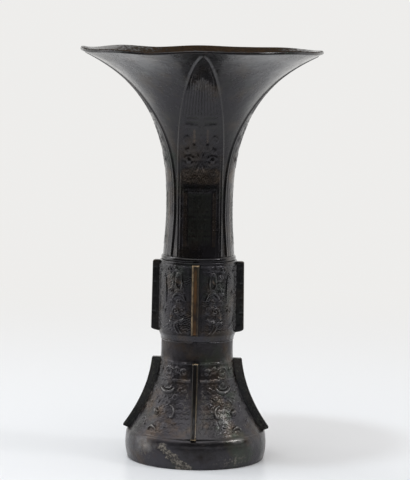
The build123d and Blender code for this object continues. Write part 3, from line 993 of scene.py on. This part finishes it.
skin_z = neck_heights(seat_flare_top, lip_foot, count=190)
skin_line = np.column_stack([neck_radius(skin_z), skin_z])
inside_line = neck_inside(neck_heights(throat_height - 4, lip_foot, count=24)[::-1])
lip_round = 0.9
lip_way = np.array([neck_slope(lip_foot), 1.0]) / math.hypot(neck_slope(lip_foot), 1.0)
lip_end = (skin_line[-1] + inside_line[0]) / 2 + lip_round * lip_way
neck_loop = joined(
    through(
        (neck_bore, neck_spigot_end),
        (2.2, (neck_spigot, neck_spigot_end)),
        (5, (neck_spigot, neck_seat)),
        (1.2, (bead_radius - 0.8, neck_seat)),
    ),
    bend((bead_radius - 0.8, neck_seat), (bead_radius, neck_seat), (bead_radius, neck_seat + 0.8)),
    bend((bead_radius, neck_seat + 1.2), (bead_radius, neck_seat + 2.8), skin_line[0] - (0, 0.05), 8),
    skin_line,
    bend(skin_line[-1], skin_line[-1] + lip_round * lip_way, lip_end, 6),
    bend(lip_end, inside_line[0] + lip_round * lip_way, inside_line[0], 6),
    inside_line[1:],
    straight((neck_bore, throat_height - 5), (neck_bore, neck_spigot_end + 4), 8),
)
blade_share = np.linspace(-1, 1, 101)
blade_angle = math.pi / 4 * (0.6 * blade_share + 0.4 * blade_share**3)
skin_rows = rows_of(neck_loop, skin_line)
blade_x = np.abs(blade_angle)[None] * skin_line[:, :1]
blade_z = np.repeat(skin_line[:, 1:], len(blade_angle), axis=1)
blade_width = 15.0
blade_foot = 122.5
blade_shoulder = 180.0
blade_tip = 246.7
taper = ramp(blade_z, blade_shoulder, blade_tip - blade_shoulder)
blade_edge = blade_width * (1 - taper**2.2) ** 0.58
inside_edge = np.minimum(blade_edge - blade_x, blade_z - blade_foot)


def step(value, soft):
    share = np.clip(value / soft, 0, 1)
    return share * share * (3 - 2 * share)


def line_at(value, place, half_width):
    return step(half_width + 0.25 - np.abs(value - place), 0.5)


neck_carving = 0.6 * step(inside_edge, 0.8)
neck_carving += 0.12 * line_at(inside_edge, 1.2, 0.3) - 0.16 * line_at(inside_edge, 2.1, 0.25)
flute_low = 210.5
flute_high = 238.0
flute_count = 6
flute_share = ramp(blade_z, flute_low, flute_high - flute_low)
flute_spread = 11.2 - 4.4 * flute_share
flutes = (0.5 + 0.5 * np.cos(math.tau * flute_count * blade_x / flute_spread)) ** 1.5
flute_mask = step(blade_z - flute_low, 1.2) * step(flute_high - 0.1 * blade_x**2 - blade_z, 9.0)
flute_mask = flute_mask * step(flute_spread * 1.06 - blade_x, 0.5) * step(inside_edge - 1.9, 0.8)
neck_carving -= 0.5 * flutes * flute_mask
mask_forms = (
    ([(2.0, 204.2), (9.0, 204.8)], (0.4, 0.5), 0.4),
    ([(1.4, 191.0), (1.4, 203.4)], 0.5, 0.3),
    ([(6.3, 191.4), (6.3, 203.4)], 0.5, 0.3),
    (curl((8.6, 195.6), 0.4, 2.4, 90, 1.3), 0.5, 0.42),
    (curl((8.2, 189.2), 0.3, 1.5, 200, -1.2), 0.42, 0.36),
    (bow((7.0, 183.3), 3.0, 2.6, 20, 160), 0.5, 0.3),
    (bow((7.0, 183.3), 3.2, 2.4, 200, 340), 0.45, 0.2),
    (curl((7.8, 176.2), 0.4, 2.3, 60, -1.3), 0.5, 0.1),
    (curl((3.4, 172.4), 0.3, 1.7, 120, 1.2), 0.45, 0.08),
    ([(1.6, 187.0), (1.2, 180.0), (2.0, 178.0)], 0.4, 0.28),
    ([(9.6, 126.0), (9.6, 166.4), (0.0, 166.4)], 0.5, 0.2),
    ([(7.7, 130.0), (7.7, 164.6), (0.0, 164.6)], 0.35, 0.14),
    ([(5.9, 131.4), (5.9, 137.6), (1.9, 137.6), (1.9, 133.4), (3.9, 133.4), (3.9, 135.6)], 0.38, 0.2),
    ([(11.6, 126.0), (11.6, 176.0)], 0.35, 0.1),
    ([(0.0, 131.2), (0.0, 137.6)], 0.38, 0.2),
)
mask_eye = 0.9 * boss(blade_x, blade_z, (7.0, 183.3), 1.4)
mask_lines = carved(mask_eye, blade_x, blade_z, mask_forms, soft=0.6)
neck_carving += 0.75 * mask_lines * step(inside_edge - 2.2, 0.5)
eye_bars = ridge(blade_x, blade_z, [(3.9, 193.6), (3.9, 202.0)], 0.85)
brow_grooves = ridge(blade_x, blade_z, [(2.2, 209.2), (9.4, 209.8)], 0.7)
brow_grooves = np.maximum(brow_grooves, ridge(blade_x, blade_z, [(2.4, 206.6), (9.0, 207.0)], 0.7))
frame_field = ridge(blade_x, blade_z, [(8.6, 132.0), (8.6, 163.0)], 1.3, soft=1.6)
lower_field = step(8.0 - blade_x, 1.8) * step(blade_z - 129.0, 7.0) * step(166.0 - blade_z, 4.0)
kept_share, lumps = rubbed_unevenly(blade_x, blade_z)
mask_ground = step(blade_z - 176.0, 5.0) * step(209.0 - blade_z, 1.5) * step(inside_edge - 2.6, 0.6)
mask_spirals = spiral_ground(blade_x, blade_z, cell=2.7, pitch=1.0) * mask_ground
neck_carving += 0.13 * mask_spirals * kept_share
low_spirals = spiral_ground(blade_x, blade_z, cell=2.9, pitch=1.1) * kept_share
neck_carving += 0.14 * low_spirals * lower_field
neck_carving += lumps * step(inside_edge - 2.4, 0.6)
neck_carving -= 0.3 * eye_bars + 0.2 * brow_grooves + 0.12 * lower_field
neck_relief = on_rows(neck_loop, skin_rows, neck_carving)
brown_band = ridge(blade_x, blade_z, [(0.0, 174.0), (8.0, 173.6)], 5.5, soft=5.0)
low_scrolls = ridge(blade_x, blade_z, [(0.0, 140.0), (5.0, 140.0)], 2.0, soft=2.0)
blade_grime = (0.33 - 0.16 * low_spirals) * lower_field + 0.14 * brow_grooves
blade_grime -= 0.42 * eye_bars + 0.46 * brown_band
blade_grime -= 0.42 * frame_field
neck_grime = on_rows(neck_loop, skin_rows, blade_grime)

# A brown wash covers the inside, from the lip's end down.
lip_wash_row = skin_rows.stop + 5
inside_wash_row = skin_rows.stop + 8
neck_earth = on_rows(neck_loop, skin_rows, 0.2 * low_scrolls)
neck_earth[lip_wash_row:] = 0.75
neck_earth[inside_wash_row:] = 1.0
neck_bronze = old_bronze(
    "neck_bronze",
    deep=(0.012, 0.011, 0.012), body=(0.027, 0.025, 0.029), warm=(0.033, 0.026, 0.022),
    bloom=(0.020, 0.026, 0.021), worn_and_highlight=(0.19, 0.136, 0.092), dirt=(0.027, 0.029, 0.025),
    soil_tones=((0.009, 0.005, 0.0025), (0.030, 0.017, 0.008)),
    rub_from=0.25, rub_to=1.0, rough=(0.18, 0.3), wax=(0.66, 0.38), grain=0.7, pits=0.7, dents=1.6,
    earth_gloss=0.08,
)
neck_askew = 0.7
neck_share = turned_share(
    "neck", neck_loop, blade_angle - math.pi / 2, neck_relief, neck_grime, neck_earth
)
neck = cast("neck_trumpet", neck_share, turns=4, material=neck_bronze, crease=55, askew=neck_askew)

# The lip was drawn out by hand: eight shallow waves, deeper at the left, and two low places.
lip_wave = 0.42
wave_count = 8
wave_lean = 0.55
wave_turn = 0.4
lip_sag = 0.2
lip_low_places = ((-42, 22, 0.8), (90, 14, 0.4))
wave_start = 228.0
place = read_places(neck.data)
round_angle = np.arctan2(place[:, 0], -place[:, 1])
near_lip = ramp(place[:, 2] / MM, wave_start, lip_top - wave_start) ** 1.5
to_side = np.clip(np.sin(round_angle) / wave_turn, -1, 1)
lean = 1 - wave_lean * to_side * np.abs(np.cos(round_angle))
dip = lip_wave * lean * (1 - np.cos(wave_count * round_angle)) + lip_sag * np.sin(round_angle) ** 2
for degrees, half_spread, depth in lip_low_places:
    dip += depth * hump(np.degrees(round_angle), degrees, half_spread)
place[:, 2] -= (dip * near_lip * MM).astype("f4")
write_places(neck.data, place)

# The wash near the lip has worn away at the left and at the far right, down to grey bronze.
bare_left = hump(round_angle, math.radians(-116), 0.66)
bare_right = hump(round_angle, math.radians(106), 0.52)
bare = np.maximum(0.95 * bare_left, 0.85 * bare_right) * near_lip**2
write_values(neck.data, "earth", read_values(neck.data, "earth") * (1 - bare))
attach(neck, "root")
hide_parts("neck")

# Table
# A pale, slightly glossy table top that runs out to the background, with the vessel's soft shadow on it.
# It is a stage piece, no part of the vessel; far from the vessel it takes the background's own white.
backdrop_white = (0.855, 0.848, 0.834)
table_radius = 12.0
shade_near = 0.1
shade_far = 0.8
table_mesh = bpy.data.meshes.new("table_top")
ring_points = 96
ring_angle = np.linspace(0, math.tau, ring_points + 1)[:-1]
ring_radii = (0.05, 0.3, 1.0, 3.0, table_radius)
table_points = [(r * math.cos(a), r * math.sin(a), 0) for r in ring_radii for a in ring_angle]
table_faces = [list(range(ring_points))]
for inner_ring in range(0, ring_points * (len(ring_radii) - 1), ring_points):
    outer_ring = inner_ring + ring_points
    for j in range(ring_points):
        n = (j + 1) % ring_points
        table_faces.append([inner_ring + j, outer_ring + j, outer_ring + n, inner_ring + n])
table_mesh.from_pydata(table_points, [], table_faces)
table = bpy.data.objects.new("table_top", table_mesh)
bpy.context.scene.collection.objects.link(table)


def rays_seen(tree):
    ray = add_node(tree, "ShaderNodeLightPath", {}).outputs
    seen = combine(tree, "MAXIMUM", ray["Is Camera Ray"], ray["Is Glossy Ray"])
    return ray["Is Camera Ray"], combine(tree, "MAXIMUM", seen, ray["Is Transmission Ray"])


def show_mixed(tree, share, first, second, output):
    mixed = add_node(tree, "ShaderNodeMixShader", {"Fac": share, 1: first, 2: second})
    feed(tree, tree.nodes[output], {"Surface": mixed.outputs["Shader"]})


# What the bronze mirrors from the camera's side of the room is this dim; the camera itself sees white.
dim_side = 0.07
table_material = bpy.data.materials.new("white_table")
table_material.use_nodes = True
tree = table_material.node_tree
surface = tree.nodes["Principled BSDF"]
feed(tree, surface, {"Base Color": (0.77, 0.78, 0.80), "Roughness": 0.3, "Specular IOR Level": 0.12})
table_place = add_node(tree, "ShaderNodeTexCoord", {}).outputs["Object"]
table_way = add_node(tree, "ShaderNodeSeparateXYZ", {"Vector": table_place}).outputs
table_away = add_node(tree, "ShaderNodeVectorMath", {0: table_place}, operation="LENGTH").outputs["Value"]
by_camera, seen = rays_seen(tree)
near_end = between(tree, table_way["Y"], -0.6, 0.2, dim_side, 1.0)
far_glow = combine(tree, "MAXIMUM", by_camera, near_end)
far_white = add_node(tree, "ShaderNodeEmission", {"Color": backdrop_white, "Strength": far_glow})
fade = combine(tree, "MULTIPLY", between(tree, table_away, shade_near, shade_far), seen)
show_mixed(tree, fade, surface.outputs["BSDF"], far_white.outputs["Emission"], "Material Output")
table_mesh.materials.append(table_material)

# Studio
# A pale room with a soft light on each side, two smaller ones above them and a broad one overhead. A cool
# ceiling light lays the mouth's shadow on the table, behind the foot and right of it, and stays out of the
# bronze's gloss. The camera stands a little above the lip, with the slight tilt of the photograph.
world = bpy.data.worlds.new("pale_studio")
bpy.context.scene.world = world
world.use_nodes = True
tree = world.node_tree
room = tree.nodes["Background"]
feed(tree, room, {"Color": (0.52, 0.51, 0.50)})
by_camera, seen = rays_seen(tree)
view_way = add_node(tree, "ShaderNodeTexCoord", {}).outputs["Generated"]
view_way = add_node(tree, "ShaderNodeSeparateXYZ", {"Vector": view_way}).outputs
dim_end = between(tree, view_way["Y"], -0.3, 1.0, dim_side, 1.0)
ceiling = between(tree, view_way["Z"], 0.2, 0.8, dim_side, 0.9)
room_glow = combine(tree, "MAXIMUM", by_camera, combine(tree, "MAXIMUM", dim_end, ceiling))
background = add_node(tree, "ShaderNodeBackground", {"Color": backdrop_white, "Strength": room_glow})
show_mixed(tree, seen, room.outputs["Background"], background.outputs["Background"], "World Output")

white_light = (1.0, 1.0, 1.0)
cool_light = (0.86, 0.94, 1.0)
for name, place, aim, width, height, power, colour, in_gloss in (
    ("left_softbox", (-1.7, 0.3, 0.5), (0, 0, 0.15), 1.0, 1.4, 8, white_light, True),
    ("right_softbox", (1.7, 0.6, 0.5), (0, 0, 0.15), 0.9, 1.2, 2.4, white_light, True),
    ("upper_left_softbox", (-1.1, 0.6, 1.3), (0, 0, 0.1), 0.4, 0.4, 3.4, white_light, True),
    ("upper_right_softbox", (1.4, -0.45, 1.25), (0, 0, 0.1), 0.35, 0.35, 6, white_light, True),
    ("overhead_softbox", (-0.2, -0.6, 1.8), (0, 0, 0.1), 1.9, 1.9, 13, white_light, True),
    ("ceiling_light", (-0.34, -0.38, 1.85), (0, 0, 0), 0.2, 0.2, 9, cool_light, False),
):
    lamp = bpy.data.lights.new(name, "AREA")
    lamp.shape = "RECTANGLE"
    lamp.size = width
    lamp.size_y = height
    lamp.energy = power
    lamp.color = colour
    holder = bpy.data.objects.new(name, lamp)
    holder.location = place
    holder.rotation_euler = (Vector(aim) - Vector(place)).to_track_quat("-Z", "Y").to_euler()
    holder.visible_glossy = in_gloss
    bpy.context.scene.collection.objects.link(holder)

camera_distance = 1.312
camera_height = 0.276
aim_point = Vector((0.0037, 0.0, 0.1335))
camera_roll = math.radians(1.0)
lens = bpy.data.cameras.new("camera")
lens.lens = 163
lens.sensor_width = 36
camera = bpy.data.objects.new("camera", lens)
camera.location = (aim_point.x, -camera_distance, camera_height)
look = (aim_point - camera.location).to_track_quat("-Z", "Y").to_matrix()
camera.rotation_euler = (look @ Matrix.Rotation(camera_roll, 3, "Z")).to_euler()
bpy.context.scene.collection.objects.link(camera)
bpy.context.scene.camera = camera
bpy.context.scene.view_settings.view_transform = "Standard"
